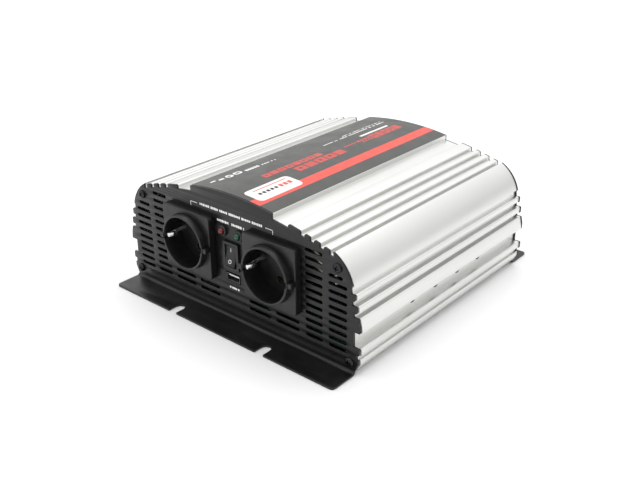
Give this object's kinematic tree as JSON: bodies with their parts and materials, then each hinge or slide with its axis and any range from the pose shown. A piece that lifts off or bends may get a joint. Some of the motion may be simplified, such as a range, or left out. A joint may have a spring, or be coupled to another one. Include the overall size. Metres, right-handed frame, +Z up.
{
  "type": "power inverter",
  "caption": "Ribbed aluminium-cased power inverter with earthed round mains sockets, rocker switch, lamps and USB port in front, fan and screw terminals behind, and slotted feet.",
  "frame": {"origin": "on the surface the feet stand on, at the middle of the case", "axes": "+Z up, +X to the right seen from the sockets, the sockets face -Y, +Y along the case towards the fan"},
  "size_m": [0.2364, 0.262, 0.102],
  "materials": {
    "aluminium": "satin silver anodised extrusion",
    "panel_black": "fine matte black powder coat",
    "label_film": "satin printed film with white and red bars",
    "screw_black": "black zinc",
    "socket_plastic": "satin moulded black plastic",
    "spring_metal": "nickel-plated strip",
    "brass": "turned brass",
    "zinc_steel": "zinc plated",
    "lamp_red": "tinted clear lens",
    "lamp_green": "tinted clear lens",
    "white_plastic": "moulded white plastic",
    "circuit_board": "green solder mask",
    "terminal_red": "moulded red plastic",
    "terminal_black": "moulded black plastic",
    "ferrite": "sintered ferrite",
    "winding_tape": "yellow polyester tape",
    "capacitor_sleeve": "shrink sleeve"
  },
  "bodies": {
    "case": {"upper_shell": "aluminium", "lower_tray": "aluminium", "front_panel": "panel_black", "rear_panel": "panel_black", "top_label": "label_film", "front_panel_screw_1": "screw_black", "rear_panel_screw_1": "screw_black", "right_side_screw_1": "screw_black", "left_side_screw_1": "screw_black", "fan_screw_1": "screw_black", "front_panel_screw_2": "screw_black", "rear_panel_screw_2": "screw_black", "right_side_screw_2": "screw_black", "left_side_screw_2": "screw_black", "fan_screw_2": "screw_black", "front_panel_screw_3": "screw_black", "rear_panel_screw_3": "screw_black", "right_side_screw_3": "screw_black", "left_side_screw_3": "screw_black", "fan_screw_3": "screw_black", "front_panel_screw_4": "screw_black", "rear_panel_screw_4": "screw_black", "right_side_screw_4": "screw_black", "left_side_screw_4": "screw_black", "fan_screw_4": "screw_black", "left_socket_housing": "socket_plastic", "left_earth_bracket": "spring_metal", "left_socket_rear_cover": "socket_plastic", "left_upper_contact": "brass", "left_lower_contact": "brass", "right_socket_housing": "socket_plastic", "right_earth_bracket": "spring_metal", "right_socket_rear_cover": "socket_plastic", "right_upper_contact": "brass", "right_lower_contact": "brass", "fault_lamp": "lamp_red", "power_lamp": "lamp_green", "fault_lamp_holder": "socket_plastic", "power_lamp_holder": "socket_plastic", "switch_housing": "socket_plastic", "usb_shell": "spring_metal", "usb_tongue": "white_plastic", "usb_board": "circuit_board", "fan_frame": "socket_plastic", "positive_terminal_base": "terminal_red", "positive_terminal_stud": "brass", "negative_terminal_base": "terminal_black", "negative_terminal_stud": "brass", "main_board": "circuit_board", "transformer_core": "ferrite", "transformer_winding": "winding_tape", "bus_capacitor": "capacitor_sleeve", "right_heatsink": "aluminium", "left_heatsink": "aluminium"},
    "rocker": {"switch_rocker": "socket_plastic"},
    "fan": {"fan_rotor": "socket_plastic"},
    "positive_washer": {"positive_terminal_washer": "zinc_steel"},
    "positive_knob": {"positive_terminal_knob": "terminal_red"},
    "negative_washer": {"negative_terminal_washer": "zinc_steel"},
    "negative_knob": {"negative_terminal_knob": "terminal_black"}
  },
  "joints": [
    {"name": "rocker_tilt", "type": "hinge", "parent": "case", "child": "rocker", "pos_m": [0, -0.1072, 0.054], "axis": [1, 0, 0], "range_deg": [0, 20]},
    {"name": "fan_spin", "type": "hinge", "parent": "case", "child": "fan", "pos_m": [0, 0.099, 0.052], "axis": [0, 1, 0], "continuous": true},
    {"name": "positive_washer_lift", "type": "slide", "parent": "case", "child": "positive_washer", "axis": [0, 1, 0], "range_m": [0, 0.005]},
    {"name": "positive_knob_turn", "type": "hinge", "parent": "positive_washer", "child": "positive_knob", "pos_m": [0.074, 0.119, 0.05], "axis": [0, 1, 0], "range_deg": [0, 1440]},
    {"name": "negative_washer_lift", "type": "slide", "parent": "case", "child": "negative_washer", "axis": [0, 1, 0], "range_m": [0, 0.005]},
    {"name": "negative_knob_turn", "type": "hinge", "parent": "negative_washer", "child": "negative_knob", "pos_m": [-0.074, 0.119, 0.05], "axis": [0, 1, 0], "range_deg": [0, 1440]}
  ],
  "couplings": [
    {"joint": "positive_knob_turn", "follows": "positive_washer_lift", "rad_per_m": 5026},
    {"joint": "negative_knob_turn", "follows": "negative_washer_lift", "rad_per_m": 5026}
  ]
}
